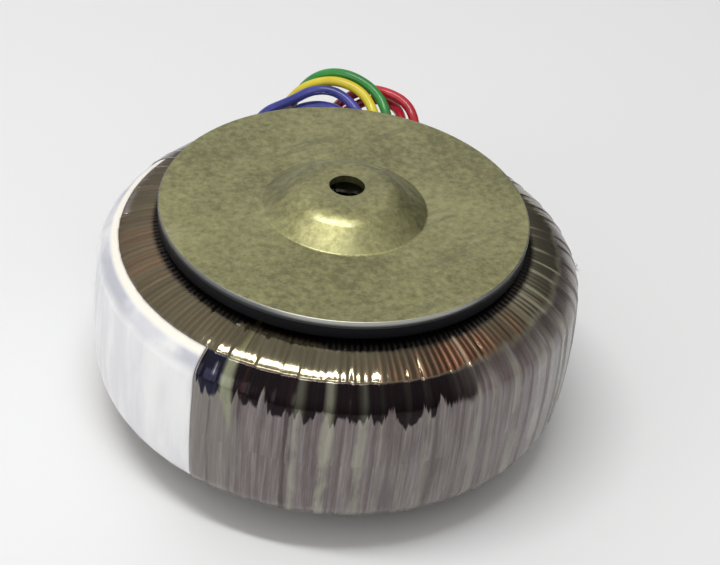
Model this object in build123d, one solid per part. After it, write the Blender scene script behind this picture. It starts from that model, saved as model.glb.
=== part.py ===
from build123d import *
import os
from math import cos, hypot, pi, radians, sin, tan

# A toroidal mains transformer with a dished mounting plate, two rubber pads and six flying leads.
# Millimetres. The origin is on the underside of the lower pad, on the core's axis, and +Z is up.

# ---- Core: a coil of silicon-steel strip ----
core_outer_diameter = 102.0
core_inner_diameter = 60.0
core_height = 28.0
strip_thickness = 0.3          # also the step that the strip's end leaves on each wall

# ---- What each layer adds to the ring: on the outer wall, on the faces, in the bore ----
# A layer grows thicker towards the bore, where its turns crowd together.
core_wrap_build = (0.8, 1.0, 1.0)
primary_build = (3.0, 4.3, 4.5)
inner_film_build = (0.6, 0.7, 1.1)
secondary_build = (1.8, 3.2, 4.4)
label_thickness = 0.12
outer_film_build = (0.4, 0.6, 1.0)
layer_gap = 0.05               # air between two layers

# ---- Form of the finished ring ----
core_corner = 2.4              # radius that the first turns of film take over the core's corners
shoulder_width = 24.0          # half-axes of the elliptical shoulders of the finished ring
shoulder_height = 11.6
bore_lip = 8.0                 # radius of the finished ring's edges at the bore
wall_bulge = 0.6               # how far the finished outer wall swells at its middle

# ---- Secondary: one layer of thick enamelled wire on the outer wall, in two halves ----
wire_diameter = 1.7
wire_pitch = 1.8               # along the outer wall
groove_depth = 0.55            # between two turns
exit_azimuth = 80.0            # the middle of the gap that the leads come out of
exit_gap_angle = 38.0
far_gap_azimuth = 249.0        # the middle of the gap between the halves, in front
far_gap_angle = 4.5

# ---- Outer film: overlapping turns of clear tape ----
tape_turns = 60
tape_slant = 2.0               # the turns lean over on the outer wall
tape_step = 0.25               # from one turn down to the next
tape_step_angle = 0.35         # degrees that the step takes up around the ring
tape_unevenness = 0.22         # of one pitch, how far a turn's edge strays
stray_beat = 2.4               # radians that the stray's wave moves on from turn to turn

# ---- Paper label under the film ----
label_start_azimuth = 150.0
label_sweep = 90.0
label_inset = 5.1              # its upper and lower edges, from the ring's wall

# ---- Rubber pads and steel mounting plate ----
pad_diameter = 86.0
pad_thickness = 3.0
pad_hole_diameter = 40.0
pad_edge_round = 0.4
plate_diameter = 86.2
plate_thickness = 1.8
plate_edge_round = 0.35
dome_foot_diameter = 38.4      # to the sharp bend where the dome leaves the plate
dome_crown_diameter = 23.0
dome_height = 5.8
dome_foot_bend = 1.0
dome_crown_bend = 9.0
bolt_hole_diameter = 8.3

# ---- Leads ----
lead_diameter = 2.5
lead_pitch = 3.0               # side by side where they leave the ring
lead_grip = 2.0                # length of insulation inside the sleeve
sleeve_diameter = 2.8
sleeve_length = 10.5
sleeve_end_round = 0.56
sleeve_inset = 19.4            # its mouth, from the ring's wall
rise_inset = 14.0              # where the leads begin to rise, from the ring's wall
sleeve_lift = 0.08             # above the film that the sleeves lie on
conductor_diameter = 1.5
conductor_length = 9.0
conductor_tip_round = 0.3
bench_clearance = 0.05         # below the leads that lie on the bench
fit_clearance = 0.08           # radial, between a lead and the sleeve or the film around it
fillet_share = 0.45            # of the shorter run, taken up by the bend at its end
LEAD_ROUTES = {
    # Over the top of the ring, down behind it and along the bench. Each point is the distance to
    # the side, the distance beyond the ring's wall, and the height as a share of the ring's.
    "red_1": [
        (15.8, -7.7, 0.959), (12.6, -2.3, 1.025), (4.5, 1.1, 1.036), (-0.8, 3.8, 0.963), (-5.7, 6.9, 0.818),
        (-8.9, 9.6, 0.643), (-11.2, 12.1, 0.454), (-12.0, 15.6, 0.262), (-10.4, 20.0, 0.099),
        (-5.2, 24.4, 0.012), (3.0, 27.4, 0.0), (12.6, 28.6, 0.0), (22.0, 26.6, 0.0), (30.6, 22.2, 0.0),
        (38.4, 16.6, 0.0), (45.6, 10.2, 0.0), (52.9, 4.4, 0.0),
    ],
    "red_2": [
        (12.3, -6.6, 0.957), (10.2, -0.2, 0.962), (4.0, 3.3, 0.953), (-3.4, 3.3, 0.834), (-8.9, 5.4, 0.695),
        (-12.9, 7.7, 0.521), (-15.6, 10.6, 0.344), (-16.8, 14.6, 0.176), (-15.2, 19.8, 0.055),
        (-10.2, 25.4, 0.004), (-2.4, 30.1, 0.0), (6.6, 33.2, 0.0), (16.4, 33.8, 0.0), (26.0, 31.2, 0.0),
        (34.6, 26.2, 0.0), (42.4, 20.0, 0.0), (49.6, 13.4, 0.0), (57.4, 8.4, 0.0),
    ],
    "green": [
        (8.6, -7.2, 0.97), (5.2, -1.7, 1.048), (-1.6, 1.3, 1.096), (-7.8, 4.1, 1.068), (-13.0, 6.4, 0.972),
        (-16.4, 8.8, 0.815), (-19.3, 10.8, 0.627), (-21.5, 13.1, 0.436), (-22.7, 16.1, 0.249),
        (-21.6, 20.8, 0.095), (-16.9, 26.4, 0.012), (-9.6, 31.7, 0.0), (-1.0, 36.2, 0.0), (8.6, 38.8, 0.0),
        (18.6, 38.6, 0.0), (28.0, 35.2, 0.0), (36.4, 29.8, 0.0), (44.2, 23.6, 0.0), (52.0, 17.8, 0.0),
    ],
    "yellow": [
        (5.0, -6.7, 0.985), (1.3, -2.7, 1.055), (-4.9, -0.5, 1.078), (-10.5, 1.6, 1.03),
        (-15.6, 3.7, 0.934), (-19.4, 5.6, 0.771), (-22.9, 7.6, 0.594), (-25.5, 10.3, 0.412),
        (-26.9, 14.1, 0.233), (-26.0, 19.4, 0.087), (-21.4, 25.6, 0.008), (-14.4, 32.0, 0.0),
        (-6.0, 37.4, 0.0), (3.2, 41.4, 0.0), (13.0, 43.4, 0.0), (22.8, 42.2, 0.0), (31.8, 38.4, 0.0),
        (40.2, 33.0, 0.0), (47.6, 26.8, 0.0),
    ],
    "blue_1": [
        (1.0, -6.0, 0.977), (-5.1, -2.1, 1.035), (-11.4, -1.6, 1.022), (-16.8, -0.1, 0.917),
        (-24.1, 1.7, 0.806), (-27.3, 3.6, 0.621), (-30.4, 6.0, 0.439), (-31.9, 9.9, 0.271),
        (-32.2, 15.8, 0.116), (-29.8, 23.2, 0.022), (-24.3, 30.8, 0.0), (-16.4, 38.1, 0.0),
        (-7.2, 43.7, 0.0), (2.6, 47.8, 0.0), (12.8, 50.0, 0.0), (23.2, 49.8, 0.0), (33.2, 46.8, 0.0),
        (42.2, 42.0, 0.0),
    ],
    "blue_2": [
        (-1.9, -5.7, 0.944), (-8.2, -2.0, 0.944), (-14.8, -0.1, 0.88), (-19.2, 1.5, 0.768),
        (-22.9, 3.4, 0.598), (-25.5, 5.8, 0.416), (-27.3, 9.6, 0.241), (-28.6, 15.3, 0.103),
        (-27.0, 22.6, 0.012), (-21.4, 29.8, 0.0), (-13.4, 36.4, 0.0), (-4.4, 41.8, 0.0), (5.2, 45.4, 0.0),
        (15.2, 46.8, 0.0), (25.0, 45.6, 0.0), (34.2, 42.0, 0.0), (42.2, 37.0, 0.0),
    ],
}


def add(*builds):
    """The builds of several layers together."""
    return tuple(sum(parts) for parts in zip(*builds))


def even(thickness):
    """A layer that is as thick everywhere."""
    return (thickness,) * 3


# ---- Depth of each layer's surfaces below the finished ring's surface ----
film_inside = outer_film_build
label_outside = add(film_inside, even(layer_gap))
label_inside = add(label_outside, even(label_thickness))
secondary_outside = add(label_inside, even(layer_gap))
secondary_inside = add(film_inside, secondary_build)
inner_film_outside = add(secondary_inside, even(layer_gap))
inner_film_inside = add(secondary_inside, inner_film_build)
primary_outside = add(inner_film_inside, even(layer_gap))
primary_inside = add(inner_film_inside, primary_build)
core_wrap_outside = add(primary_inside, even(layer_gap))
total_build = add(primary_inside, core_wrap_build)

# ---- The finished ring, worked out from the core outwards ----
ring_radius = core_outer_diameter / 2 + total_build[0]
ring_bore_radius = core_inner_diameter / 2 - total_build[2]
ring_height = core_height + 2 * total_build[1]
ring_middle = pad_thickness + ring_height / 2
ring_top = pad_thickness + ring_height
plate_underside = ring_top + pad_thickness


def section_corners(depth):
    """Half-sizes of the ring's section at a depth: wall, bore, half height, shoulder and lip."""
    outside, face, bore = depth
    share = outside / core_wrap_outside[0]
    wall = ring_radius - outside
    half_height = ring_height / 2 - face
    inner = ring_bore_radius + bore
    width = shoulder_width + share * (core_corner - shoulder_width)
    height = shoulder_height + share * (core_corner - shoulder_height)
    lip = bore_lip + share * (core_corner - bore_lip)
    bulge = wall_bulge * (1 - outside / total_build[0])
    return wall, inner, half_height, width, height, lip, bulge


def section_curves(depth, stretch=1.0):
    """The closed outline of the ring's section, in radius and height, smooth all round."""
    wall, inner, half_height, width, height, lip, bulge = section_corners(depth)
    half_height, height, lip_height = (stretch * s for s in (half_height, height, lip))
    foot = wall - bulge
    straight = half_height - height
    shoulder = (foot - width, straight)
    edge = (inner + lip, half_height - lip_height)
    return [
        ThreePointArc((foot, -straight), (wall, 0), (foot, straight)),
        EllipticalCenterArc(shoulder, width, height, 0, arc_size=90),
        Line((foot - width, half_height), (inner + lip, half_height)),
        EllipticalCenterArc(edge, lip, lip_height, 90, arc_size=90),
        Line((inner, half_height - lip_height), (inner, lip_height - half_height)),
        EllipticalCenterArc((edge[0], -edge[1]), lip, lip_height, 180, arc_size=90),
        Line((inner + lip, -half_height), (foot - width, -half_height)),
        EllipticalCenterArc((shoulder[0], -shoulder[1]), width, height, 270, arc_size=90),
    ]


def section_plane(azimuth, slant=0.0):
    """A plane through the ring's axis height, its X outwards and its Y upwards, leaning by slant."""
    a, s = radians(azimuth), radians(slant)
    normal = (sin(a) * cos(s), -cos(a) * cos(s), sin(s))
    return Plane(origin=(0, 0, ring_middle), x_dir=(cos(a), sin(a), 0), z_dir=normal)


def solid_ring(depth):
    """Everything inside the ring's surface at a depth, as a turned solid."""
    outline = section_plane(0).location * Wire(section_curves(depth))
    return revolve(Face(outline), Axis.Z)


def layer(outside, inside):
    """A closed layer between two depths."""
    return solid_ring(outside) - solid_ring(inside)


def tube(path, diameter):
    """A round bar along a path."""
    return sweep(Plane(origin=path @ 0, z_dir=path % 0) * Circle(diameter / 2), path=path)


# ---- Core and inner layers ----
def core():
    """Strip wound like a clock spring: each wall is two half circles that meet at the strip's end."""
    def spiral(radius):
        small = radius - strip_thickness
        half_way = (radius + small) / 2
        return [
            ThreePointArc((radius, 0), (0, radius), (-radius, 0)),
            ThreePointArc((-radius, 0), ((small - radius) / 2, -half_way), (small, 0)),
            Line((small, 0), (radius, 0)),
        ]
    coil = Face(Wire(spiral(core_outer_diameter / 2)))
    bore = Face(Wire(spiral(core_inner_diameter / 2 + strip_thickness)))
    return Pos(0, 0, ring_middle - core_height / 2) * extrude(coil - bore, core_height)


def core_wrap():
    """Polyester film around the sharp-cornered core."""
    space = Cylinder(core_outer_diameter / 2 + layer_gap, core_height + 2 * layer_gap)
    space -= Cylinder(core_inner_diameter / 2 - layer_gap, core_height + 2 * layer_gap)
    return solid_ring(core_wrap_outside) - Pos(0, 0, ring_middle) * space


def primary_winding():
    """Many turns of fine wire, wound all round the ring."""
    return layer(primary_outside, primary_inside)


def inner_film():
    """The insulation between primary and secondary."""
    return layer(inner_film_outside, inner_film_inside)


# ---- Secondary ----
def turn_outline(groove):
    """One turn's outline, pulled straight between the points where the wire bends."""
    wall, inner, half_height, width, height, lip, bulge = section_corners(secondary_outside)
    foot = wall - bulge
    arc = [(foot - width + width * cos(t), half_height - height + height * sin(t))
           for t in (0, pi / 6, pi / 3, pi / 2)]
    arc += [(inner + lip - lip * sin(t), half_height - lip + lip * cos(t))
            for t in (0, pi / 4, pi / 2)]
    middle = (foot + inner) / 2
    grooved = []
    for radius, rise in arc:
        pull = hypot(radius - middle, rise)
        share = 1 - groove / pull
        grooved.append((middle + (radius - middle) * share, rise * share))
    return grooved + [(radius, -rise) for radius, rise in reversed(grooved)]


def without_ends(ring):
    """The faces of part of a ring, less the flat upright ones at its two ends."""
    return [face for face in ring.faces()
            if face.geom_type != GeomType.PLANE or abs(face.normal_at().Z) > 0.5]


def secondary_half(start, sweep_angle):
    """Half of the secondary: a ridge for each turn of wire, on a smooth inside."""
    wall_radius = ring_radius - secondary_outside[0]
    turns = round(radians(sweep_angle) * wall_radius / wire_pitch)
    outlines = []
    for i in range(2 * turns + 1):
        corners = turn_outline(groove_depth if i % 2 == 0 else 0.0)
        plane = section_plane(start + sweep_angle * i / (2 * turns))
        outlines.append(plane.location * Wire.make_polygon([Vector(*corner) for corner in corners]))
    ridges = Solid.make_loft(outlines, ruled=True)
    seats = [section_plane(azimuth).location * Wire(section_curves(secondary_inside))
             for azimuth in (start, start + sweep_angle)]
    seat = revolve(Face(seats[0]), Axis.Z, revolution_arc=sweep_angle)
    ends = [Face(outside, [inside]) for outside, inside in zip((outlines[0], outlines[-1]), seats)]
    return Solid(Shell([*without_ends(ridges), *without_ends(seat), *ends]))


# ---- Outer film ----
def tape_edge_azimuth(turn):
    """Where a turn's edge lies: evenly spaced, less a small stray that repeats round the ring."""
    stray = tape_unevenness * sin(stray_beat * (turn % tape_turns))
    return 360.0 / tape_turns * (turn + stray)


def tape_outline(azimuth, depth):
    """The film's outline on a leaning plane, as tall as on an upright one."""
    plane = section_plane(azimuth, tape_slant)
    return plane.location * Wire(section_curves(even(depth), 1 / cos(radians(tape_slant))))


def half_film(first, last):
    """The film's turns over half the ring: each one slopes down and steps up onto the next."""
    outlines = [tape_outline(tape_edge_azimuth(first), 0.0)]
    for turn in range(first + 1, last + 1):
        edge = tape_edge_azimuth(turn)
        outlines.append(tape_outline(edge - tape_step_angle, tape_step))
        outlines.append(tape_outline(edge, 0.0))
    return Solid.make_loft(outlines, ruled=True)


def outer_film():
    """Clear tape wound over everything, with a way out for each lead."""
    half = tape_turns // 2
    film = half_film(0, half) + half_film(half, tape_turns) - solid_ring(film_inside)
    for name in LEAD_ROUTES:
        film -= tube(lead_path(name, corners=5), lead_diameter + 2 * fit_clearance)
    return film


def label():
    """A sheet of paper around the side, under the film."""
    outline = Face(Wire(section_curves(label_outside))) - Face(Wire(section_curves(label_inside)))
    outer_part = Pos(1.5 * ring_radius - label_inset, 0) * Rectangle(ring_radius, 2 * ring_height)
    section = section_plane(0).location * (outline & outer_part)
    sheet = revolve(section, Axis.Z, revolution_arc=label_sweep)
    return Rot(0, 0, label_start_azimuth) * sheet


# ---- Pads and plate ----
def pad(underside):
    """A washer of rubber sheet."""
    disc = Pos(0, 0, underside) * extrude(Circle(pad_diameter / 2), pad_thickness)
    disc = fillet(disc.edges(), pad_edge_round)
    return disc - Pos(0, 0, underside) * extrude(Circle(pad_hole_diameter / 2), pad_thickness)


def mounting_plate():
    """A pressed steel disc: a dome with a flat crown, pierced for the bolt."""
    edge = plate_diameter / 2
    foot, crown, hole = dome_foot_diameter / 2, dome_crown_diameter / 2, bolt_hole_diameter / 2
    slope = Vector(foot - crown, -dome_height).get_angle(Vector(1, 0))
    shift = plate_thickness * tan(radians(slope) / 2)
    upper = FilletPolyline(
        (edge, plate_thickness), (foot, plate_thickness),
        (crown, plate_thickness + dome_height), (hole, plate_thickness + dome_height),
        radius=[dome_foot_bend, dome_crown_bend],
    )
    lower = FilletPolyline(
        (hole, dome_height), (crown - shift, dome_height), (foot - shift, 0), (edge, 0),
        radius=[dome_crown_bend - plate_thickness, dome_foot_bend + plate_thickness],
    )
    rim = [Line(upper @ 1, lower @ 0), Line(lower @ 1, upper @ 0)]
    section = Plane.XZ * Face(Wire([*upper.edges(), *lower.edges(), *rim]))
    plate = Pos(0, 0, plate_underside) * revolve(section, Axis.Z)
    top_edge = plate.edges().filter_by(GeomType.CIRCLE).filter_by(
        lambda e: abs(e.radius - edge) < 1e-6).sort_by(Axis.Z)[-1]
    return fillet(top_edge, plate_edge_round)


# ---- Leads ----
def exit_place(name, distance):
    """A point on a lead's straight way out of the ring, that far from the ring's axis."""
    row = list(LEAD_ROUTES).index(name) - (len(LEAD_ROUTES) - 1) / 2
    a = radians(exit_azimuth)
    outwards, sideways = Vector(cos(a), sin(a)), Vector(-sin(a), cos(a))
    bed = ring_top - inner_film_outside[1]
    height = Vector(0, 0, bed + sleeve_lift + sleeve_diameter / 2)
    return outwards * distance + sideways * (row * lead_pitch) + height


def route_points(name):
    """The corners of a lead's route, from its grip in the sleeve to its free end."""
    rest = lead_diameter / 2 + bench_clearance
    points = [exit_place(name, ring_radius - sleeve_inset - lead_grip)]
    points.append(exit_place(name, ring_radius - rise_inset))
    for aside, beyond, share in LEAD_ROUTES[name]:
        points.append(Vector(aside, ring_radius + beyond, rest + share * (ring_top - rest)))
    return points


def bend_radii(points):
    """The radius at each corner: as large as its two runs allow."""
    radii = []
    for before, here, after in zip(points, points[1:], points[2:]):
        run_in, run_out = here - before, after - here
        half_turn = radians(run_in.get_angle(run_out)) / 2
        radii.append(fillet_share * min(run_in.length, run_out.length) / tan(half_turn))
    return radii


def lead_path(name, corners=None):
    """Straight runs joined by tangent arcs, over a lead's whole route or its first corners."""
    points = route_points(name)[:corners]
    return FilletPolyline(*points, radius=bend_radii(points))


def lead(name):
    """The insulated part of a flying lead."""
    path = lead_path(name)
    insulation = tube(path, lead_diameter)
    tightest = min(bend_radii(route_points(name)))
    section = pi * lead_diameter**2 / 4
    print(f"lead {name}: {path.length:.1f} long, tightest bend {tightest:.1f},",
          f"volume {insulation.volume:.1f}, section times length {section * path.length:.1f}")
    return insulation


def tinned_end(name):
    """The stripped strands at a lead's free end, twisted and tinned."""
    path = lead_path(name)
    align = (Align.CENTER, Align.CENTER, Align.MIN)
    strands = Cylinder(conductor_diameter / 2, conductor_length, align=align)
    tip = strands.edges().filter_by(GeomType.CIRCLE).sort_by(Axis.Z)[-1]
    return Plane(origin=path @ 1, z_dir=path % 1).location * fillet(tip, conductor_tip_round)


def splice_sleeve(name):
    """The sleeve over the joint of a winding's end and a lead, closed over the joint."""
    mouth = exit_place(name, ring_radius - sleeve_inset)
    inwards = exit_place(name, 0) - mouth
    align = (Align.CENTER, Align.CENTER, Align.MIN)
    sleeve = Cylinder(sleeve_diameter / 2, sleeve_length, align=align)
    sleeve = fillet(sleeve.edges().filter_by(GeomType.CIRCLE).sort_by(Axis.Z)[-1], sleeve_end_round)
    sleeve -= Cylinder(lead_diameter / 2 + fit_clearance, lead_grip, align=align)
    return Plane(origin=mouth, z_dir=inwards).location * sleeve


def build():
    """Every piece of the transformer, by node name."""
    left_start = exit_azimuth + exit_gap_angle / 2
    left_end = far_gap_azimuth - far_gap_angle / 2
    right_start = far_gap_azimuth + far_gap_angle / 2
    right_end = 360.0 + exit_azimuth - exit_gap_angle / 2
    pieces = {
        "core": core(),
        "core_wrap": core_wrap(),
        "primary_winding": primary_winding(),
        "inner_film": inner_film(),
        "secondary_winding_left": secondary_half(left_start, left_end - left_start),
        "secondary_winding_right": secondary_half(right_start, right_end - right_start),
        "label": label(),
        "outer_film": outer_film(),
        "lower_pad": pad(0),
        "upper_pad": pad(plate_underside - pad_thickness),
        "mounting_plate": mounting_plate(),
    }
    for name in LEAD_ROUTES:
        pieces[f"lead_{name}"] = lead(name)
        pieces[f"tinned_end_{name}"] = tinned_end(name)
        pieces[f"splice_sleeve_{name}"] = splice_sleeve(name)
    return pieces


def main():
    os.makedirs("parts", exist_ok=True)
    for node, solid in build().items():
        solid.label = node
        export_step(solid, f"parts/{node}.step")


main()
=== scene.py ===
import bpy, math
import numpy as np
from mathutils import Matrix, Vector


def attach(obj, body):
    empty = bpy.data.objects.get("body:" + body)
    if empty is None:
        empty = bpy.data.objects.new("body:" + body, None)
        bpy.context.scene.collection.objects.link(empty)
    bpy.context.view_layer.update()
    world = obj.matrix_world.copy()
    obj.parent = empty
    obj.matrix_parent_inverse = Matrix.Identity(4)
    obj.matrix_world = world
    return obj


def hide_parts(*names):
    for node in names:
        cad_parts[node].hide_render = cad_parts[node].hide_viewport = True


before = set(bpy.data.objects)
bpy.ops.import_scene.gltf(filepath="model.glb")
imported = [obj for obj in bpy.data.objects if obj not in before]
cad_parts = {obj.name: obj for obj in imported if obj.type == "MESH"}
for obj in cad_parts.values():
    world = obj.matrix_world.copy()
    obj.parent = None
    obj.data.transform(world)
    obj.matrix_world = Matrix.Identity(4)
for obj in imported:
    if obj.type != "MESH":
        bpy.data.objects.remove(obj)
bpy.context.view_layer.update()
mm = 0.001

# ---- Sizes of the ring, in millimetres, as in the part's source ----
ring_radius, bore_radius, ring_height, ring_middle = 57.6, 18.0, 47.6, 26.8
ring_top, plate_underside, plate_radius, pad_radius = 50.6, 53.6, 43.1, 43.0
pad_hole, pad_thickness = 20.0, 3.0
shoulder_width, shoulder_height, bore_lip, wall_bulge = 24.0, 11.6, 8.0, 0.6
core_depth, core_corner, bulge_depth = 7.0, 2.4, 6.6
# how far the outside of a layer lies in from the ring's own: on the wall, on the faces, in the bore
film_depth, label_depth, wire_depth = (0.0, 0.0, 0.0), (0.50, 0.60, 1.0), (0.57, 0.77, 1.17)
wire_diameter, wire_pitch = 1.7, 1.8
exit_azimuth, exit_gap = 80.0, 38.0
far_gap_azimuth, far_gap = 247.0, 2.6
label_start, label_sweep, label_inset = 150.0, 90.0, 5.8
tape_turns, tape_slant, tape_step = 60, 2.0, 0.25
lead_diameter, lead_pitch, lead_start_inset, rise_inset = 2.5, 3.0, 21.4, 14.0
bed_height, bench_gap, tinned_length = 48.23, 0.05, 9.0


# ---- Camera ----
def camera():
    """Above and in front of the ring, rolled a little so that its right side hangs lower."""
    place, aim, roll = Vector((0, -0.36305, 0.30741)), Vector((0.005502, 0, 0.03395)), 0.11624
    bpy.ops.object.camera_add(location=place)
    lens = bpy.context.object
    lens.name = "studio_camera"
    lens.data.lens, lens.data.sensor_width = 95.464, 36
    lens.data.clip_start, lens.data.clip_end = 0.01, 20
    turn = (aim - place).to_track_quat("-Z", "Y").to_matrix().to_4x4()
    lens.rotation_euler = (turn @ turn.Rotation(roll, 4, "Z")).to_euler()
    bpy.context.scene.camera = lens


# ---- Leads: limp cords, over the top of the ring, down behind it and along the bench ----
# each point: across, back from the ring's wall, and height as a share of the ring's top
routes = {
    "red_1": [
        (15.8, -7.7, 0.959), (12.6, -2.3, 1.025), (4.5, 1.1, 1.036), (-0.8, 3.8, 0.963), (-5.7, 6.9, 0.818),
        (-8.9, 9.6, 0.643), (-11.2, 12.1, 0.454), (-12.0, 15.6, 0.262), (-10.4, 20.0, 0.099),
        (-5.2, 24.4, 0.012), (3.0, 27.4, 0.0), (12.6, 28.6, 0.0), (22.0, 26.6, 0.0), (30.6, 22.2, 0.0),
        (38.4, 16.6, 0.0), (45.6, 10.2, 0.0), (52.9, 4.4, 0.0),
    ],
    "red_2": [
        (12.3, -6.6, 0.957), (10.2, -0.2, 0.962), (4.0, 3.3, 0.953), (-3.4, 3.3, 0.834), (-8.9, 5.4, 0.695),
        (-12.9, 7.7, 0.521), (-15.6, 10.6, 0.344), (-16.8, 14.6, 0.176), (-15.2, 19.8, 0.055),
        (-10.2, 25.4, 0.004), (-2.4, 30.1, 0.0), (6.6, 33.2, 0.0), (16.4, 33.8, 0.0), (26.0, 31.2, 0.0),
        (34.6, 26.2, 0.0), (42.4, 20.0, 0.0), (49.6, 13.4, 0.0), (57.4, 8.4, 0.0),
    ],
    "green": [
        (8.6, -7.2, 0.97), (5.2, -1.7, 1.048), (-1.6, 1.3, 1.096), (-7.8, 4.1, 1.068), (-13.0, 6.4, 0.972),
        (-16.4, 8.8, 0.815), (-19.3, 10.8, 0.627), (-21.5, 13.1, 0.436), (-22.7, 16.1, 0.249),
        (-21.6, 20.8, 0.095), (-16.9, 26.4, 0.012), (-9.6, 31.7, 0.0), (-1.0, 36.2, 0.0), (8.6, 38.8, 0.0),
        (18.6, 38.6, 0.0), (28.0, 35.2, 0.0), (36.4, 29.8, 0.0), (44.2, 23.6, 0.0), (52.0, 17.8, 0.0),
    ],
    "yellow": [
        (5.0, -6.7, 0.985), (1.3, -2.7, 1.055), (-4.9, -0.5, 1.078), (-10.5, 1.6, 1.03),
        (-15.6, 3.7, 0.934), (-19.4, 5.6, 0.771), (-22.9, 7.6, 0.594), (-25.5, 10.3, 0.412),
        (-26.9, 14.1, 0.233), (-26.0, 19.4, 0.087), (-21.4, 25.6, 0.008), (-14.4, 32.0, 0.0),
        (-6.0, 37.4, 0.0), (3.2, 41.4, 0.0), (13.0, 43.4, 0.0), (22.8, 42.2, 0.0), (31.8, 38.4, 0.0),
        (40.2, 33.0, 0.0), (47.6, 26.8, 0.0),
    ],
    "blue_1": [
        (1.0, -6.0, 0.977), (-5.1, -2.1, 1.035), (-11.4, -1.6, 1.022), (-16.8, -0.1, 0.917),
        (-24.1, 1.7, 0.806), (-27.3, 3.6, 0.621), (-30.4, 6.0, 0.439), (-31.9, 9.9, 0.271),
        (-32.2, 15.8, 0.116), (-29.8, 23.2, 0.022), (-24.3, 30.8, 0.0), (-16.4, 38.1, 0.0),
        (-7.2, 43.7, 0.0), (2.6, 47.8, 0.0), (12.8, 50.0, 0.0), (23.2, 49.8, 0.0), (33.2, 46.8, 0.0),
        (42.2, 42.0, 0.0),
    ],
    "blue_2": [
        (-1.9, -5.7, 0.944), (-8.2, -2.0, 0.944), (-14.8, -0.1, 0.88), (-19.2, 1.5, 0.768),
        (-22.9, 3.4, 0.598), (-25.5, 5.8, 0.416), (-27.3, 9.6, 0.241), (-28.6, 15.3, 0.103),
        (-27.0, 22.6, 0.012), (-21.4, 29.8, 0.0), (-13.4, 36.4, 0.0), (-4.4, 41.8, 0.0), (5.2, 45.4, 0.0),
        (15.2, 46.8, 0.0), (25.0, 45.6, 0.0), (34.2, 42.0, 0.0), (42.2, 37.0, 0.0),
    ],
}


def exit_point(row, distance):
    """A point on the straight way out of the ring that lead number row takes."""
    a = math.radians(exit_azimuth)
    side = (row - (len(routes) - 1) / 2) * lead_pitch
    return (distance * math.cos(a) - side * math.sin(a),
            distance * math.sin(a) + side * math.cos(a), bed_height)


def lead(name):
    """A round cord from inside the ring's edge to its stripped end, and the points that it follows."""
    row = list(routes).index(name)
    rest = lead_diameter / 2 + bench_gap
    points = [exit_point(row, ring_radius - inset) for inset in (lead_start_inset, rise_inset)]
    points += [(x, ring_radius + y, rest + share * (ring_top - rest)) for x, y, share in routes[name]]
    curve = bpy.data.curves.new("flying_lead_" + name, "CURVE")
    curve.dimensions = "3D"
    spline = curve.splines.new("NURBS")
    spline.points.add(len(points) - 1)
    for point, (x, y, z) in zip(spline.points, points):
        point.co = (x * mm, y * mm, z * mm, 1)
        point.radius = lead_diameter / 2 * mm
    spline.order_u = 3
    spline.use_endpoint_u = True
    spline.resolution_u = 8
    curve.bevel_depth = 1
    curve.bevel_resolution = 5
    curve.use_fill_caps = True
    cord = bpy.data.objects.new("flying_lead_" + name, curve)
    bpy.context.collection.objects.link(cord)
    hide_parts("lead_" + name)
    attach(cord, "root")
    return cord, points


# ---- Shader maths ----
class Value:
    """A number that changes over a surface, with ordinary arithmetic."""

    def __init__(self, finish, socket):
        self.finish, self.socket = finish, socket

    def maths(self, operation, *numbers):
        return self.finish.node("ShaderNodeMath", {"operation": operation}, dict(enumerate(numbers)))

    def __add__(self, other):
        return self.maths("ADD", self, other)

    def __sub__(self, other):
        return self.maths("SUBTRACT", self, other)

    def __mul__(self, other):
        return self.maths("MULTIPLY", self, other)

    def __pow__(self, other):
        return self.maths("POWER", self, other)

    def __rsub__(self, other):
        return self.maths("SUBTRACT", other, self)

    def __abs__(self):
        return self.maths("ABSOLUTE", self)

    __radd__, __rmul__ = __add__, __mul__

    def floor(self):
        return self.maths("FLOOR", self)

    def within_turn(self):
        return self.maths("FRACT", self)

    def sine(self):
        return self.maths("SINE", self)

    def least(self, other):
        return self.maths("MINIMUM", self, other)

    def over(self, low, high, first=0.0, last=1.0):
        """Turned smoothly from one range into another."""
        return self.finish.node("ShaderNodeMapRange", {"interpolation_type": "SMOOTHSTEP"},
                                {0: self, 1: low, 2: high, 3: first, 4: last})


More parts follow.
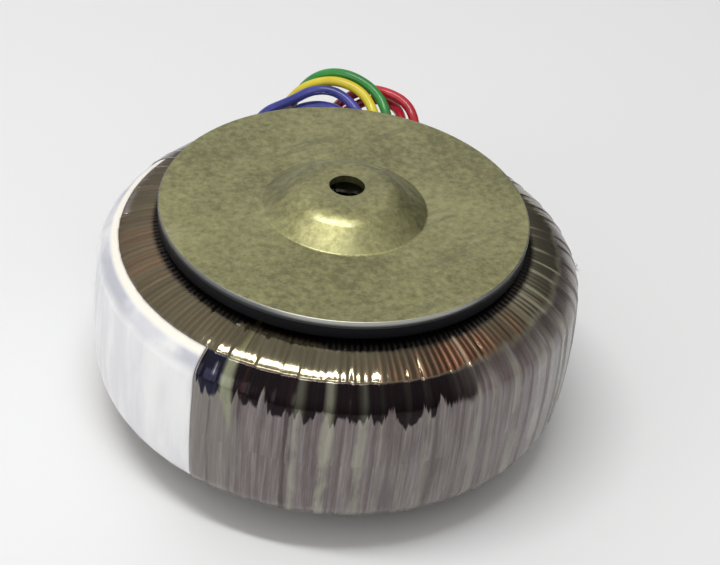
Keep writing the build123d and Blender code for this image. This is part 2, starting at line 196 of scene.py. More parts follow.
class Finish:
    """A procedural material, built around one Principled shader, or the world's light."""

    def __init__(self, name, owner=None):
        self.material = owner or bpy.data.materials.new(name)
        self.material.use_nodes = True
        self.tree = self.material.node_tree
        self.shader = self.tree.nodes["Background" if owner else "Principled BSDF"]

    def node(self, kind, settings={}, sockets={}, output=0):
        made = self.tree.nodes.new(kind)
        for setting, value in settings.items():
            if setting == "stops":
                ramp = made.color_ramp
                while len(ramp.elements) < len(value):
                    ramp.elements.new(0.5)
                for element, (position, colour) in zip(ramp.elements, value):
                    element.position, element.color = position, (*colour, 1)
            else:
                setattr(made, setting, value)
        for key, value in sockets.items():
            self.plug(made.inputs[key], value)
        return Value(self, made.outputs[output])

    def plug(self, socket, value):
        if isinstance(value, Value):
            self.tree.links.new(value.socket, socket)
        elif hasattr(value, "__len__") and len(value) == 3 and socket.type == "RGBA":
            socket.default_value = (*value, 1)
        else:
            socket.default_value = value

    def place(self):
        """Object coordinates, in metres."""
        return self.node("ShaderNodeTexCoord", output="Object")

    def scaled(self, place, scale):
        return self.node("ShaderNodeMapping", {}, {"Vector": place, "Scale": scale})

    def noise(self, place, scale, detail=4.0, roughness=0.5):
        return self.node("ShaderNodeTexNoise", {},
                         {"Vector": place, "Scale": scale, "Detail": detail, "Roughness": roughness})

    def ramp(self, factor, *stops):
        return self.node("ShaderNodeValToRGB", {"stops": stops}, {"Fac": factor})

    def mix(self, factor, first, second):
        return self.node("ShaderNodeMix", {"data_type": "RGBA"}, {0: factor, 6: first, 7: second}, 2)

    def chance(self, number):
        """A fixed random value for each whole number."""
        return self.node("ShaderNodeTexWhiteNoise", {"noise_dimensions": "1D"}, {"W": number})

    def vector(self, *numbers):
        return self.node("ShaderNodeCombineXYZ", {}, dict(enumerate(numbers)))

    def parts_of(self, vector):
        made = self.tree.nodes.new("ShaderNodeSeparateXYZ")
        self.tree.links.new(vector.socket, made.inputs[0])
        return [Value(self, socket) for socket in made.outputs]

    def radius(self, x, y):
        return (x * x + y * y) ** 0.5

    def map(self, name):
        return self.node("ShaderNodeUVMap", {"uv_map": name})

    def bump(self, height, distance, strength=1.0):
        return self.node("ShaderNodeBump", {},
                         {"Strength": strength, "Distance": distance, "Height": height})

    def set(self, **sockets):
        for name, value in sockets.items():
            self.plug(self.shader.inputs[name.replace("_", " ")], value)
        return self.material


def paint(piece, material):
    piece.data.materials.clear()
    piece.data.materials.append(material)


# ---- Finishes ----
def insulation(name, colour, dark):
    """Soft glossy PVC, with faint handling marks."""
    f = Finish(name)
    place = f.place()
    cloud = f.noise(place, 90, 3)
    specks = f.noise(place, 1500, 2)
    shade = f.mix(cloud.over(0.35, 0.7), dark, colour)
    return f.set(Base_Color=shade, Roughness=0.24 + cloud * 0.16, Coat_Weight=0.25, Coat_Roughness=0.12,
                 Normal=f.bump(specks + cloud, 0.00006, 0.35))


def tinned_copper():
    f = Finish("tinned_copper")
    place = f.place()
    lumps = f.noise(place, 700, 3)
    return f.set(Base_Color=f.mix(lumps.over(0.3, 0.7), (0.50, 0.47, 0.43), (0.78, 0.77, 0.75)),
                 Metallic=1.0, Roughness=0.22 + lumps * 0.25, Normal=f.bump(lumps, 0.0001, 0.5))


def plated_steel():
    """Dull yellowish zinc: cloudy, rubbed in streaks, with a few scratches. The cut rim is greyer, with
    painted shade along its lower half and a painted highlight in front."""
    f = Finish("plated_steel")
    place = f.place()
    clouds = f.noise(place, 48, 6, 0.65)
    broad = f.noise(place, 19, 4, 0.6)
    grain = f.noise(place, 620, 5, 0.68)
    turned = f.node("ShaderNodeVectorRotate", {"rotation_type": "Z_AXIS"}, {"Vector": place, "Angle": -0.72})
    streaks = f.noise(f.scaled(turned, (30, 300, 200)), 1, 5, 0.7)
    scratches = f.node("ShaderNodeTexVoronoi", {"feature": "DISTANCE_TO_EDGE"},
                       {"Vector": f.scaled(turned, (18, 300, 60)), "Scale": 1.0})
    scratch = scratches.over(0.0, 0.025, 1.0, 0.0) * broad.over(0.5, 0.62)
    base = f.ramp(clouds * 0.34 + grain * 0.46 + broad * 0.20, (0.41, (0.225, 0.215, 0.092)),
                  (0.50, (0.345, 0.330, 0.148)), (0.59, (0.46, 0.44, 0.210)))
    base = f.mix(streaks.over(0.52, 0.70) * 0.6, base, (0.22, 0.215, 0.115))
    base = f.mix(scratch * 0.5, base, (0.55, 0.53, 0.36))
    x, y, z = f.parts_of(place)
    # painted light on the cut rim: a painted highlight towards the front, painted shade along its lower half
    forward = x * 0.26 - y * 0.97
    rim = f.mix(forward.over(0.034, 0.041), (0.20, 0.21, 0.21), (0.54, 0.54, 0.50))
    rim = f.mix((z - (plate_underside + 0.4) * mm).over(0.0, 0.0009), (0.03, 0.03, 0.035), rim)
    base = f.mix((f.radius(x, y) - (plate_radius - 0.3) * mm).over(0.0, 0.00015), base, rim)
    rough = 0.26 + clouds * 0.16 + grain * 0.12 - scratch * 0.1
    height = grain * 0.7 + streaks * 0.5 + clouds * 0.4 - scratch * 0.6
    return f.set(Base_Color=base, Metallic=0.92, Roughness=rough, Coat_Weight=0.5, Coat_Roughness=0.18,
                 Normal=f.bump(height, 0.00005, 0.6))


def neoprene():
    f = Finish("neoprene")
    place = f.place()
    skin = f.noise(place, 1100, 4)
    dust = f.noise(place, 140, 5, 0.65)
    return f.set(Base_Color=f.mix(dust.over(0.55, 0.8) * 0.3, (0.002, 0.002, 0.004), (0.012, 0.012, 0.018)),
                 Roughness=0.42 + dust * 0.2, Specular_IOR_Level=0.16, Normal=f.bump(skin, 0.00005, 0.4))


def pad_shadow_mask(f, x, y):
    """1 in the painted shadow along the rim of each pad, over the narrow gap under its edge and the wires
    beyond it, 0 away from it. It narrows in front and at the left.
    """
    in_front = 0.012 - f.radius(x + 0.0105, y + 0.0425)
    narrow = in_front.over(0.0, 0.006) * 0.0026 + x.over(-0.030, -0.010, 0.0006, 0.0)
    return 1.0 - (f.radius(x, y) - (pad_radius + 1.1) * mm + narrow).over(0.0, 0.0014)


def enamelled_copper():
    """Brown enamel on copper wire: each turn a little different, and redder and smoother towards the right
    front.
    Painted shade darkens the wires in front, and a painted shadow lies beside each pad.
    """
    f = Finish("enamelled_copper")
    turn = f.parts_of(f.map("turn"))[0]
    place = f.place()
    x, y, _ = f.parts_of(place)
    each = f.chance(turn.floor())
    along = f.noise(place, 160, 4, 0.6)
    group = f.noise(place, 38, 2)
    forward = x * 0.55 - y * 0.84 + group * 0.024
    right_front = x * 0.70 - y * 0.71 + group * 0.022
    red = right_front.over(0.046, 0.062) * (1.0 - (x - 0.047).over(0.0, 0.006))
    tone = each * (0.35 + red * 0.25) + along * 0.4 + 0.12
    dull = f.ramp(tone, (0.15, (0.060, 0.034, 0.016)), (0.45, (0.140, 0.085, 0.044)),
                  (0.75, (0.24, 0.150, 0.080)), (0.95, (0.36, 0.235, 0.130)))
    bright = f.ramp(tone, (0.15, (0.05, 0.014, 0.009)), (0.40, (0.12, 0.038, 0.021)),
                    (0.65, (0.22, 0.085, 0.045)), (0.90, (0.40, 0.20, 0.11)))
    # painted shade: the wires in front are darkened nearly to black
    colour = f.mix(forward.over(0.015, 0.045) * 0.72, dull, (0.024, 0.017, 0.009))
    colour = f.mix(red, colour, bright)
    # painted shadow along the rim of each pad: the wires there are made nearly black
    colour = f.mix(pad_shadow_mask(f, x, y) * 0.95, colour, (0.002, 0.002, 0.002))
    return f.set(Base_Color=colour, Metallic=0.7, Roughness=0.40 + along * 0.16 - red * 0.18,
                 Normal=f.bump(along, 0.00006, 0.3))


def polyester_film(name, colour, dark):
    """Overlapped yellowish film under the secondary."""
    f = Finish(name)
    place = f.place()
    folds = f.noise(place, 120, 4, 0.55)
    return f.set(Base_Color=f.mix(folds.over(0.35, 0.7), dark, colour), Roughness=0.28 + folds * 0.2,
                 Normal=f.bump(folds, 0.0003, 0.5))


def label_paper():
    """White paper, creased along its edges where it is folded over the shoulders, with painted shade over the
    folded band, painted highlights on its creases and a painted cream highlight along its cut rim.
    """
    f = Finish("label_paper")
    place = f.place()
    z = f.parts_of(place)[2]
    fibres = f.noise(place, 2600, 3, 0.7)
    creases = f.noise(f.scaled(place, (1, 1, 0.25)), 105, 4, 0.55)
    folds = f.noise(f.scaled(place, (1, 1, 1.6)), 62, 3, 0.5)
    height = abs(z - ring_middle * mm)
    edge = (height - 0.0176).over(-0.0004, 0.0006)
    folded = (height - 0.0150).over(-0.0012, 0.0014) * (1.0 - edge)
    shade = f.mix(creases.over(0.38, 0.62), (0.80, 0.80, 0.82), (0.93, 0.93, 0.92))
    # painted shade over the folded band, then painted highlights on the tops of its creases
    shade = f.mix(folded * (0.45 + folds.over(0.42, 0.58) * 0.55), shade, (0.50, 0.50, 0.56))
    shade = f.mix(folded * creases.over(0.58, 0.70) * 0.6, shade, (0.90, 0.89, 0.84))
    # painted cream highlight along the label's cut rim
    shade = f.mix(edge, shade, (0.97, 0.92, 0.80))
    relief = creases + fibres * 0.15 + folds * folded * 2.0
    return f.set(Base_Color=shade, Roughness=0.55, Normal=f.bump(relief, 0.0007, 0.6))


# ---- The tape's uneven places: bearings and widths in degrees from the part's +X axis ----
pale_folds = [      # loose laps of the tape: bearing, half width, how pale
    (-95.5, 0.9, 0.75), (-88.7, 1.5, 1.0), (-81.3, 1.3, 0.85), (-76.8, 0.5, 0.5), (-71.0, 0.7, 0.5),
    (-66.2, 0.8, 0.5), (-53.9, 1.0, 0.6), (-49.2, 1.0, 0.6), (-41.8, 1.7, 0.85), (-33.0, 2.0, 0.9),
    (-27.5, 1.0, 0.7), (-20.5, 2.2, 0.8), (-9.0, 1.5, 0.7), (4.0, 1.8, 0.8), (17.0, 1.0, 0.5),
    (31.0, 2.0, 0.9), (48.0, 1.2, 0.6), (112.0, 1.6, 0.8), (131.0, 1.2, 0.6), (142.0, 1.8, 0.8),
]
dark_seams = [      # edges of the tape that stand up a little: bearing, half width, how dark
    (-97.6, 0.6, 1.6), (-108.2, 0.5, 0.5), (-103.0, 0.4, 0.4), (-85.0, 0.5, 0.45), (-78.4, 0.5, 0.5),
    (-74.6, 0.7, 0.5), (-64.2, 0.6, 0.5), (-46.0, 0.5, 0.5), (-37.8, 0.8, 0.5), (-2.0, 0.5, 0.5),
    (24.0, 0.6, 0.6), (39.0, 0.5, 0.5), (121.0, 0.6, 0.6), (136.0, 0.5, 0.5),
]
# one place each: bearing, half width, how softly it ends
wet_laps = [((-88.9, 0.9, 0.7), 1.0), ((-95.3, 0.9, 0.8), 0.45), ((-81.0, 0.5, 0.6), 0.3)]
lit_wires = [((-53.8, 0.5, 0.5), 1.0), ((-49.8, 0.4, 0.5), 0.7)]
standing_fold, mended_lap = (-108.6, 0.30, 0.35), (-115.3, 0.40, 0.2)
# navy_patch gives the painted dark reflection a navy tint; navy_glint is a painted highlight in it
greyer_wall, navy_patch, navy_glint = (-117.0, 7.0, 4.0), (-116.5, 3.0, 1.0), (-115.9, 0.30, 0.5)
tan_shoulder, bare_copper = (-162.0, 12.0, 12.0), (-58.0, 14.0, 9.0)
# the far side carries a painted sheen on the tape; towards the right side the painted dark reflection thins
# out
right_side, far_side, rear = (-64, -46), (-35, -22), (100, 140)     # where each begins and is complete
tight_from = 0.0190         # metres above and below the ring's middle: from here on the tape is pulled tight
# dark_from sets the lower edge of the painted dark reflection
dark_from = 0.0396          # metres above the bench: the dark zone's lower edge in front
# the strip between the two windings: its bearing at one height, its lower end, its lean in degrees a metre
gap_bearing, gap_height, gap_foot, gap_lean = -111.0, 0.036, 0.027, 170.0


def clear_tape():
    """Glossy clear tape. Pulled tight over the shoulders it is clear, just below the upper one a painted dark
    reflection makes it look dark and wet, and on the wall it is loose and milky, with paler laps and dark
    edges. The far side carries a painted sheen, and the tape is left clear in the painted shadow by the pads."""
    f = Finish("clear_tape")
    turn, along, _ = f.parts_of(f.map("tape"))
    x, y, z = f.parts_of(f.place())
    number, share = turn.floor(), turn.within_turn()
    azimuth = y.maths("ARCTAN2", y, x)
    height = abs(z - ring_middle * mm)

    # unevenness: along each turn, over each wire, and in larger and larger patches
    lines = f.noise(f.vector(turn * 4.0, along * 8.0, number * 1.7), 1.0, 5, 0.65)
    wires = f.noise(f.vector(azimuth * 62.0, z * 26.0), 1.0, 5, 0.72)
    tongues = f.noise(f.vector(azimuth * 15.0, z * 30.0), 1.0, 3, 0.6)
    patches = f.noise(f.vector(azimuth * 9.0, z * 75.0), 1.0, 3, 0.6)
    broad = f.noise(f.vector(azimuth * 7.0, z * 60.0), 1.0, 3, 0.5)
    bearing = azimuth * math.degrees(1) + (broad - 0.5) * 1.4 + (wires - 0.5) * 1.1
    wide = patches.over(0.34, 0.64, 0.35, 1.0)

    def stripe(middle, half, soft):
        return (half - abs(bearing - middle)).over(-soft, soft)

    def stripes(rows, soft):
        whole = 0.0
        for middle, half, strength in rows:
            whole = stripe(middle, half * wide, soft) * strength + whole
        return whole

    def places(rows):
        whole = 0.0
        for place, strength in rows:
            whole = stripe(*place) * strength + whole
        return whole

    def past(bearings, *ends):
        return azimuth.over(*[math.radians(b) for b in bearings], *ends)

    # zones: under the label, the right side, the far side with a painted sheen, the tight shoulders and the
    # loose wall
    label_middle = math.radians(label_start + label_sweep / 2 - 360)
    from_middle = abs(azimuth.maths("WRAP", azimuth - label_middle, math.pi, -math.pi))
    label = (math.radians(label_sweep / 2) - from_middle).over(0.0, 0.004)
    right = past(right_side)
    far = past(far_side) * past(rear, 1.0, 0.0)
    clear = (height - tight_from - right * (patches - 0.5) * 0.002).over(0.0, 0.0004 + right * 0.0010)
    wall = (1.0 - clear) * (1.0 - label)
    label = label * (1.0 - clear)

    # the dark zone, a painted dark reflection, hangs down in uneven tongues, and thins out towards the right
    uneven = ((tongues - 0.5) * 0.021 + (wires - 0.5) * 0.0045) * (1.0 - right * 0.8)
    edge = dark_from + right * 0.0047 - uneven
    soft = 0.0005 + right * 0.0016
    dark = (z - edge).over(soft * -1.0, soft) * wall * (0.97 - right * 0.40)

    # the gap between the two halves of the winding shows as a leaning strip
    lean = (gap_height - z) * gap_lean
    widening = (z - 0.030).over(0.0, 0.012, 0.25, 1.25)
    gap = stripe(lean + gap_bearing, widening, 0.7) * (z - gap_foot).over(0.0, 0.008)
    gap = gap * (0.35 + lines * 0.8)
    dark = dark * (1.0 - gap.least(1.0))

    # laps, folds and seams
    pale = stripes(pale_folds, 0.65) * (0.30 + lines * 0.75) * patches.over(0.30, 0.60, 0.45, 1.0)
    pale = pale * wall * (1.0 - dark * 0.88) * (1.0 - right * 0.25) + places(wet_laps) * dark * 0.55
    seam = stripes(dark_seams, 0.25) * (0.4 + lines * 0.8) * wall * (1.0 - right * 0.4) * (1.0 - dark * 0.7)
    fold = stripe(*standing_fold) * (z - 0.033).over(0.0, 0.004) * 0.8
    mended = stripe(*mended_lap) * (0.039 - z).over(0.0, 0.004)
    edges = (share.over(0.90, 1.0) + (1.0 - share).over(0.93, 1.0)) * f.chance(number + 0.71).over(0.3, 0.9)
    milky = wall * (1.0 - dark)

    # colour of the loose wall, then of the dark zone, a painted dark reflection, then of the tight shoulders
    body = f.ramp(wires * 0.62 + lines * 0.38, (0.32, (0.060, 0.038, 0.037)), (0.48, (0.165, 0.130, 0.127)),
                  (0.64, (0.31, 0.275, 0.265)))
    body = f.mix(stripe(*greyer_wall) * 0.6, body, (0.225, 0.205, 0.170))
    # painted sheen: the loose wall is paler on the far side
    body = f.mix(far * 0.45, body, (0.27, 0.245, 0.215))
    # painted dark reflection: near black, lighter towards the right, navy at one patch
    wet = f.mix(right, (0.013, 0.009, 0.011), (0.060, 0.045, 0.036))
    wet = f.mix(stripe(*navy_patch), wet, (0.018, 0.018, 0.038))
    colour = f.mix(dark, body, wet)
    glint = stripe(*navy_glint) * (z - 0.0425).over(0.0, 0.001) * (0.0452 - z).over(0.0, 0.0008)
    colour = f.mix(glint * dark * wires.over(0.40, 0.55), colour, (0.80, 0.80, 0.90))
    tan = stripe(*tan_shoulder) * 0.8 + (tongues - 0.5) * 0.8
    tight = f.mix(tan.over(0.0, 0.7), (0.235, 0.205, 0.115), (0.400, 0.240, 0.140))
    tight = f.mix(lines.over(0.3, 0.7), tight, (0.30, 0.27, 0.18))
    # painted sheen: the tight shoulders are paler on the far side
    tight = f.mix(far, tight, (0.52, 0.49, 0.33))
    lit = places(lit_wires).least(1.0)
    tight = f.mix(lit, tight, (0.80, 0.66, 0.46))
    colour = f.mix(clear, colour, tight)
    colour = f.mix(label, colour, (0.92, 0.92, 0.95))
    colour = f.mix(pale, colour, (0.355, 0.352, 0.260))
    colour = f.mix(gap * wall, colour, (0.24, 0.265, 0.145))
    colour = f.mix((seam + fold + mended * 0.7).least(1.0) * (1.0 - clear), colour, (0.045, 0.022, 0.022))
    colour = f.mix(edges * 0.25 * milky, colour, (0.42, 0.40, 0.36))

    # how much each zone hides
    thin = stripe(*bare_copper).least(1.0) * 0.38
    veil = patches.over(0.35, 0.65) * 0.12 + 0.44 - thin + far * 0.25 + lit * 0.5
    # the tape is left clear in the painted shadow beside each pad, so the darkened wires show
    veil = clear * veil * (1.0 - pad_shadow_mask(f, x, y))
    alpha = veil + label * 0.10 + milky * (0.78 + lines * 0.14) + dark * 0.93
    alpha = alpha + pale * 0.20 + gap * wall * 0.15

    # relief: soft folds where it is loose, the wires below where it is tight, most of all in front
    ripple = (azimuth * (ring_radius / wire_pitch * 2 * math.pi)).sine()
    taut = 0.04 + (x * 0.7 - y).over(0.038, 0.054) * 0.09
    relief = (lines * 0.5 + broad * 0.6 + wires * 0.35 + edges * 0.4) * (1.0 - clear) + ripple * clear * taut
    return f.set(Base_Color=colour, Metallic=(clear + dark).least(1.0),
                 Roughness=0.10 + milky * 0.12, Alpha=alpha.least(1.0), IOR=1.55,
                 Coat_Weight=0.38 * (1.0 - dark), Coat_Roughness=0.08, Coat_IOR=1.6,
                 Normal=f.bump(relief, 0.00030, 0.5))


def inner_steel():
    f = Finish("core_steel")
    place = f.place()
    bands = f.noise(place, 400, 3)
    return f.set(Base_Color=f.mix(bands, (0.33, 0.33, 0.35), (0.5, 0.5, 0.52)), Metallic=1.0, Roughness=0.4)


def shrink_sleeve():
    f = Finish("shrink_sleeve")
    ripples = f.noise(f.place(), 300, 3)
    return f.set(Base_Color=f.mix(ripples, (0.70, 0.68, 0.62), (0.86, 0.85, 0.80)), Roughness=0.4,
                 Normal=f.bump(ripples, 0.0002, 0.4))


# ---- The ring's section ----
def corners(depth):
    """Half-sizes of the section at a depth, as in the part's source."""
    outside, face, bore = depth
    rounding = [size + outside / core_depth * (core_corner - size)
                for size in (shoulder_width, shoulder_height, bore_lip)]
    return (ring_radius - outside, bore_radius + bore, ring_height / 2 - face, *rounding,
            wall_bulge * (1 - outside / bulge_depth))


def section(depth, count):
    """Points evenly along the closed section, from the middle of the wall up, over and down the bore."""
    wall, inner, half, width, height, lip, bulge = corners(depth)
    foot, straight = wall - bulge, half - height
    t = np.linspace(0, 1, 90)
    quarter = t * math.pi / 2
    upper = [np.stack([wall - bulge * t ** 2, t * straight], 1),
             np.stack([foot - width + width * np.cos(quarter), straight + height * np.sin(quarter)], 1),
             np.stack([foot - width + t * (inner + lip - foot + width), half + 0 * t], 1),
             np.stack([inner + lip - lip * np.sin(quarter), half - lip + lip * np.cos(quarter)], 1),
             np.stack([inner + 0 * t, (half - lip) * (1 - t)], 1)]
    upper = np.concatenate(upper)
    whole = np.concatenate([upper, (upper * (1, -1))[::-1]])
    length = np.concatenate([[0], np.cumsum(np.hypot(*np.diff(whole, axis=0).T))])
    spots = np.arange(count) / count * length[-1]
    return np.stack([np.interp(spots, length, whole[:, i]) for i in (0, 1)], 1)


def closed(points):
    """The same points with the first one again at the end."""
    return np.concatenate([points, points[:1]])


def outward(points):
    """Unit directions out of a closed section that runs anticlockwise."""
    along = np.roll(points, -1, 0) - np.roll(points, 1, 0)
    along /= np.linalg.norm(along, axis=1)[:, None]
    return np.stack([along[:, 1], -along[:, 0]], 1)


def sheet_blank(name, around, across):
    """A flat grid with that many faces each way, ready to be rolled: vertex j * (around + 1) + i."""
    bpy.ops.object.select_all(action="DESELECT")
    bpy.ops.mesh.primitive_grid_add(x_subdivisions=around, y_subdivisions=across)
    piece = bpy.context.object
    piece.name = piece.data.name = name
    return piece


def roll(piece, points):
    """Puts the vertices at these places, in millimetres above the ring's middle, and joins the seams."""
    placed = points.reshape(-1, 3) + (0, 0, ring_middle)
    piece.data.vertices.foreach_set("co", (placed * mm).astype(np.float32).ravel())
    piece.data.update()
    bpy.ops.object.mode_set(mode="EDIT")
    bpy.ops.mesh.select_all(action="SELECT")
    bpy.ops.mesh.remove_doubles(threshold=0.000002)
    bpy.ops.mesh.normals_make_consistent(inside=False)
    bpy.ops.object.mode_set(mode="OBJECT")
    bpy.ops.object.shade_smooth()


def map_turns(piece, name, turn_at, along_at):
    """A UV map that counts turns one way and runs from 0 to 1 round the section the other way."""
    layer = piece.data.uv_layers[0]
    layer.name = name
    corner = np.empty(len(piece.data.loops), np.int32)
    piece.data.loops.foreach_get("vertex_index", corner)
    i, j = corner % len(turn_at), corner // len(turn_at)
    layer.data.foreach_set("uv", np.stack([turn_at[i], along_at[j]], 1).astype(np.float32).ravel())


# ---- Outer film ----
def film():
    """Slanted turns of tape, each rising over the edge of the one before."""
    steps = np.array([0, 0.06, 0.2, 0.35, 0.5, 0.65, 0.8, 0.94])     # places within one turn
    turn = np.arange(tape_turns)
    edges = turn + 0.22 * np.sin(2.4 * turn)                         # unevenly spaced
    gaps = np.append(edges[1:], edges[0] + tape_turns) - edges
    at = np.append((edges[:, None] + gaps[:, None] * steps).ravel(), edges[0] + tape_turns)
    turn_at = np.append((turn[:, None] + steps).ravel(), tape_turns)
    depth = np.append(np.tile(tape_step * steps / steps[-1], tape_turns), 0)
    across = 150
    piece = sheet_blank("film_tape", len(at) - 1, across)
    along = np.linspace(0, 1, across + 1)
    map_turns(piece, "tape", turn_at, along)
    outline = closed(section(film_depth, across))
    out = closed(outward(outline[:-1]))
    shoulder_from, shoulder_run, flatter = 14.0, 8.0, 0.55
    long_wave, short_wave = 0.035, 0.008
    rng = np.random.default_rng(7)
    loose, phase = rng.uniform(0, 1, tape_turns), rng.uniform(0, 6.28, tape_turns)
    loose, phase = [np.append(v.repeat(len(steps)), v[0])[None, :] for v in (loose, phase)]
    j = 2 * math.pi * along[:, None]
    wave = long_wave * (1 + np.sin(7 * j + phase)) * loose + short_wave * (1 + np.sin(19 * j + 2.3 * phase))
    over_shoulder = np.clip((abs(outline[:, 1, None]) - shoulder_from) / shoulder_run, 0, 1)
    flattened = over_shoulder * over_shoulder * (3 - 2 * over_shoulder)
    sag = depth[None, :] * (1 - flatter * flattened) + wave
    radius = outline[:, 0, None] - out[:, 0, None] * sag
    rise = outline[:, 1, None] - out[:, 1, None] * sag
    slant = rise * math.tan(math.radians(tape_slant)) / radius
    azimuth = np.radians(at * 360 / tape_turns)[None, :] + slant
    roll(piece, np.stack([radius * np.cos(azimuth), radius * np.sin(azimuth), rise], 2))
    paint(piece, clear_tape())
    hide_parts("outer_film")
    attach(piece, "root")


# ---- Secondary winding ----
def one_wire(depth_at_bore, across, sides):
    """A turn of round wire on the ring's section, at azimuth 0: points by place along it and by side."""
    wall, face, bore = wire_depth
    outside = section((wall, face, bore + depth_at_bore), across)
    out = outward(outside)
    r = wire_diameter / 2
    line = outside - out * r
    angle = np.linspace(0, 2 * math.pi, sides, endpoint=False)
    radius = line[:, None, 0] + r * np.cos(angle) * out[:, None, 0]
    rise = line[:, None, 1] + r * np.cos(angle) * out[:, None, 1]
    aside = np.broadcast_to(r * np.sin(angle), radius.shape)
    return radius, aside, rise


def winding(name, start, end, node, seed):
    """Turns of enamelled wire side by side on the wall, crowding under each other in the bore."""
    rng = np.random.default_rng(seed)
    sweep = end - start
    wall = ring_radius - wire_depth[0]
    count = round(math.radians(sweep) * wall / wire_pitch)
    across, sides = 44, 6
    tilt, shift, least_radius = 0.10, 0.05, wall * 0.3      # millimetres out of true, at random
    bpy.ops.object.select_all(action="DESELECT")
    bpy.ops.mesh.primitive_torus_add(major_segments=across, minor_segments=sides)
    turn = bpy.context.object
    turn.name = turn.data.name = name
    copies = turn.modifiers.new("turns", "ARRAY")
    copies.count = count
    copies.use_relative_offset = False
    copies.use_constant_offset = True
    copies.constant_offset_displace = (0, 0, 1)
    bpy.ops.object.modifier_apply(modifier=copies.name)
    in_bore = (0.0, 1.2, 2.3)       # every third turn lies this much further in
    kinds = [one_wire(depth, across, sides) for depth in in_bore]
    points = []
    for i in range(count):
        radius, aside, rise = kinds[i % len(kinds)]
        lean = rng.normal(0, tilt) * rise / 20 + rng.normal(0, shift)
        middle = math.radians(start + sweep * (i + 0.5) / count)
        azimuth = middle + (aside + lean) / np.maximum(radius, least_radius)
        points.append(np.stack([radius * np.cos(azimuth), radius * np.sin(azimuth), rise], 2))
    placed = np.array(points).reshape(-1, 3) + (0, 0, ring_middle)
    turn.data.vertices.foreach_set("co", (placed * mm).astype(np.float32).ravel())
    turn.data.update()
    bpy.ops.object.shade_smooth()
    layer = turn.data.uv_layers[0]
    layer.name = "turn"
    corner = np.empty(len(turn.data.loops), np.int32)
    turn.data.loops.foreach_get("vertex_index", corner)
    number = corner // (across * sides)
    along = corner % (across * sides) // sides / across
    layer.data.foreach_set("uv", np.stack([number + 0.5, along], 1).astype(np.float32).ravel())
    paint(turn, wire_finish)
    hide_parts(node)
    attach(turn, "root")


# ---- Label ----
def paper_label():
    """A sheet that wraps the wall and both shoulders, its edges slightly out of square."""
    columns, rows, skew = 160, 60, 0.04
    piece = sheet_blank("paper_label", columns, rows)
    line = section(label_depth, 2400)
    line = line[line[:, 0] > ring_radius - label_inset]
    line = line[np.argsort(line[:, 1])]
    run = np.concatenate([[0], np.cumsum(np.hypot(*np.diff(line, axis=0).T))])
    spots = np.linspace(0, run[-1], rows + 1)
    line = np.stack([np.interp(spots, run, line[:, i]) for i in (0, 1)], 1)
    share = np.linspace(0, 1, columns + 1)[None, :]
    azimuth = np.radians(label_start + label_sweep * share - skew * line[:, None, 1] * share)
    radius = np.broadcast_to(line[:, None, 0], azimuth.shape)
    rise = np.broadcast_to(line[:, None, 1], azimuth.shape)
    roll(piece, np.stack([radius * np.cos(azimuth), radius * np.sin(azimuth), rise], 2))
    thick = piece.modifiers.new("paper", "SOLIDIFY")
    thick.thickness, thick.offset = 0.00012, -1
    bpy.ops.object.modifier_apply(modifier=thick.name)
    paint(piece, label_paper())
    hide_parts("label")
    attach(piece, "root")


# ---- Pads ----
def rubber_pad(name, underside, node):
    """A washer of rubber sheet, its rim a little full and rounded where it is squeezed."""
    around, soft = 160, 0.5
    rim, hole, thick = pad_radius, pad_hole, pad_thickness
    corner = [(math.cos(t), math.sin(t)) for t in np.linspace(0, math.pi / 2, 5)]
    upper = [(rim - soft + soft * c, thick / 2 - soft + soft * s) for c, s in corner]
    upper += [(r, thick / 2) for r in np.linspace(rim - soft, hole + soft, 8)[1:-1]]
    upper += [(hole + soft - soft * s, thick / 2 - soft + soft * c) for c, s in corner]
    profile = closed(np.array([(rim, 0.0)] + upper + [(r, -z) for r, z in reversed(upper)]))
    piece = sheet_blank(name, around, len(profile) - 1)
    azimuth = np.linspace(0, 2 * math.pi, around + 1)[None, :]
    radius = profile[:, 0, None] + 0 * azimuth
    rise = profile[:, 1, None] + 0 * azimuth + underside + thick / 2 - ring_middle
    roll(piece, np.stack([radius * np.cos(azimuth), radius * np.sin(azimuth), rise], 2))
    paint(piece, rubber)
    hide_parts(node)
    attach(piece, "root")


# ---- Tinned ends ----
def strands(name, points):
    """The stripped end of a lead: six strands twisted round a seventh and tinned."""
    end, before = Vector(points[-1]), Vector(points[-2])
    depth, tip, slice_height, twist_per_mm = tinned_length, 0.6, 0.5, 0.55
    bpy.ops.object.select_all(action="DESELECT")
    bpy.ops.mesh.primitive_cylinder_add(vertices=42, radius=0.75, depth=depth, location=(0, 0, depth / 2))
    piece = bpy.context.object
    piece.name = piece.data.name = "tinned_strands_" + name
    bpy.ops.object.transform_apply(location=True)
    bpy.ops.object.mode_set(mode="EDIT")
    for height in np.arange(slice_height, depth, slice_height):
        bpy.ops.mesh.select_all(action="SELECT")
        bpy.ops.mesh.bisect(plane_co=(0, 0, height), plane_no=(0, 0, 1))
    bpy.ops.object.mode_set(mode="OBJECT")
    place = np.empty(len(piece.data.vertices) * 3, np.float32)
    piece.data.vertices.foreach_get("co", place)
    x, y, z = place.reshape(-1, 3).T
    angle = np.arctan2(y, x)
    taper = 1 - 0.35 * np.clip((z - depth + tip) / tip, 0, 1) ** 2
    radius = np.hypot(x, y) * (0.80 + 0.20 * np.abs(np.cos(3 * angle))) * taper
    angle = angle + z * twist_per_mm
    twisted = np.stack([radius * np.cos(angle), radius * np.sin(angle), z], 1)
    turn = np.array((end - before).to_track_quat("Z", "Y").to_matrix())
    placed = (twisted @ turn.T + np.array(end)) * mm
    piece.data.vertices.foreach_set("co", placed.astype(np.float32).ravel())
    piece.data.update()
    bpy.ops.object.shade_smooth_by_angle(angle=0.9)
    paint(piece, tinned)
    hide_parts("tinned_end_" + name)
    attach(piece, "root")
    return piece


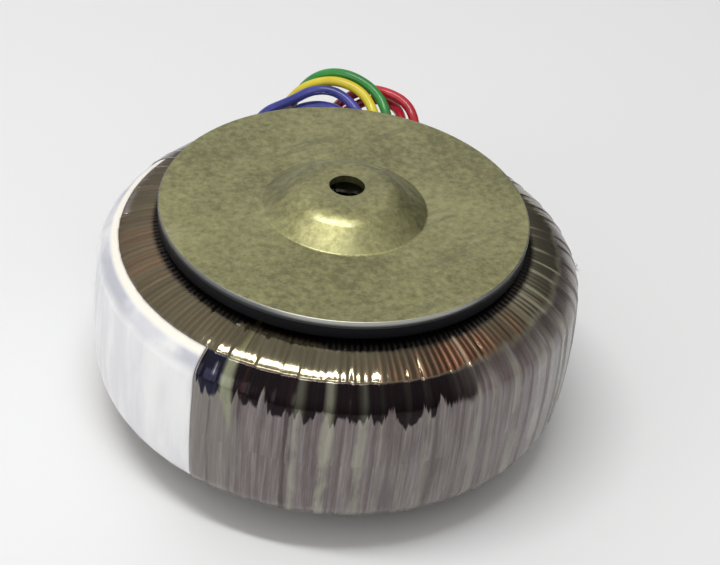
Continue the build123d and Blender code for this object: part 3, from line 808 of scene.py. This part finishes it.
# ---- Floor and lights ----
def studio():
    """A pale floor, a soft sky that is dim towards the rear right, a long softbox overhead and a fill."""
    bpy.ops.object.select_all(action="DESELECT")
    bpy.ops.mesh.primitive_plane_add(size=6, location=(0, 0, -0.0002))
    floor = bpy.context.object
    floor.name = "studio_floor"
    matt = Finish("pale_floor")
    paint(floor, matt.set(Base_Color=(0.86, 0.86, 0.86), Roughness=0.9, Specular_IOR_Level=0.1))
    world = bpy.data.worlds.new("studio")
    bpy.context.scene.world = world
    sky = Finish("sky", world)
    across, back, height = sky.parts_of(sky.node("ShaderNodeTexCoord", output="Generated"))
    dim = (across * 0.62 + back * 0.76 + height * 0.18).over(0.80, 0.97, 1.0, 0.25)
    strength = height.over(0.0, 0.7, 0.36, 0.66) * across.over(-0.1, 0.9, 1.0, 0.62) * dim
    sky.set(Color=(1, 1, 1), Strength=strength)
    for name, place, turned, wide, deep, power in [
        ("overhead_softbox", (-0.150, -0.112, 0.90), (0, 0, -0.22), 0.60, 0.085, 3.9),
        ("fill_softbox", (-0.7, -0.6, 0.35), (1.222, 0, -0.862), 0.5, 0.5, 1.1),
    ]:
        bpy.ops.object.light_add(type="AREA", location=place)
        lamp = bpy.context.object
        lamp.name = name
        lamp.data.shape = "RECTANGLE"
        lamp.data.size, lamp.data.size_y = wide, deep
        lamp.data.energy = power
        lamp.rotation_euler = turned


# ---- The whole transformer ----
camera()
colours = {
    "red": insulation("red_insulation", (0.58, 0.015, 0.03), (0.40, 0.008, 0.02)),
    "green": insulation("green_insulation", (0.03, 0.30, 0.045), (0.015, 0.18, 0.025)),
    "yellow": insulation("yellow_insulation", (0.80, 0.66, 0.03), (0.62, 0.48, 0.015)),
    "blue": insulation("blue_insulation", (0.055, 0.06, 0.36), (0.025, 0.03, 0.20)),
}
tinned = tinned_copper()
for name in routes:
    cord, points = lead(name)
    colour = name.split("_")[0]
    paint(cord, colours[colour])
    end = strands(name, points)
    [v * mm for v in points[0]]

wire_finish = enamelled_copper()
halves = [
    ("winding_left", exit_azimuth + exit_gap / 2, far_gap_azimuth - far_gap / 2, "secondary_winding_left", 3),
    ("winding_right", far_gap_azimuth + far_gap / 2, 360 + exit_azimuth - exit_gap / 2,
     "secondary_winding_right", 4),
]
for half in halves:
    winding(*half)
paper_label()
film()
rubber = neoprene()
rubber_pad("pad_upper", ring_top, "upper_pad")
rubber_pad("pad_lower", 0.0, "lower_pad")

kept = {        # solids that stay as they are
    "core": inner_steel(),
    "core_wrap": polyester_film("core_film", (0.72, 0.70, 0.52), (0.55, 0.53, 0.38)),
    "inner_film": polyester_film("inner_film", (0.62, 0.60, 0.27), (0.42, 0.40, 0.17)),
    "primary_winding": polyester_film("fine_wire", (0.50, 0.22, 0.10), (0.32, 0.13, 0.06)),
    "mounting_plate": plated_steel(),
}
for node, material in kept.items():
    paint(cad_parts[node], material)
sleeve = shrink_sleeve()
for name in routes:
    paint(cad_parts["splice_sleeve_" + name], sleeve)

studio()
scene = bpy.context.scene
scene.view_settings.view_transform = "Standard"
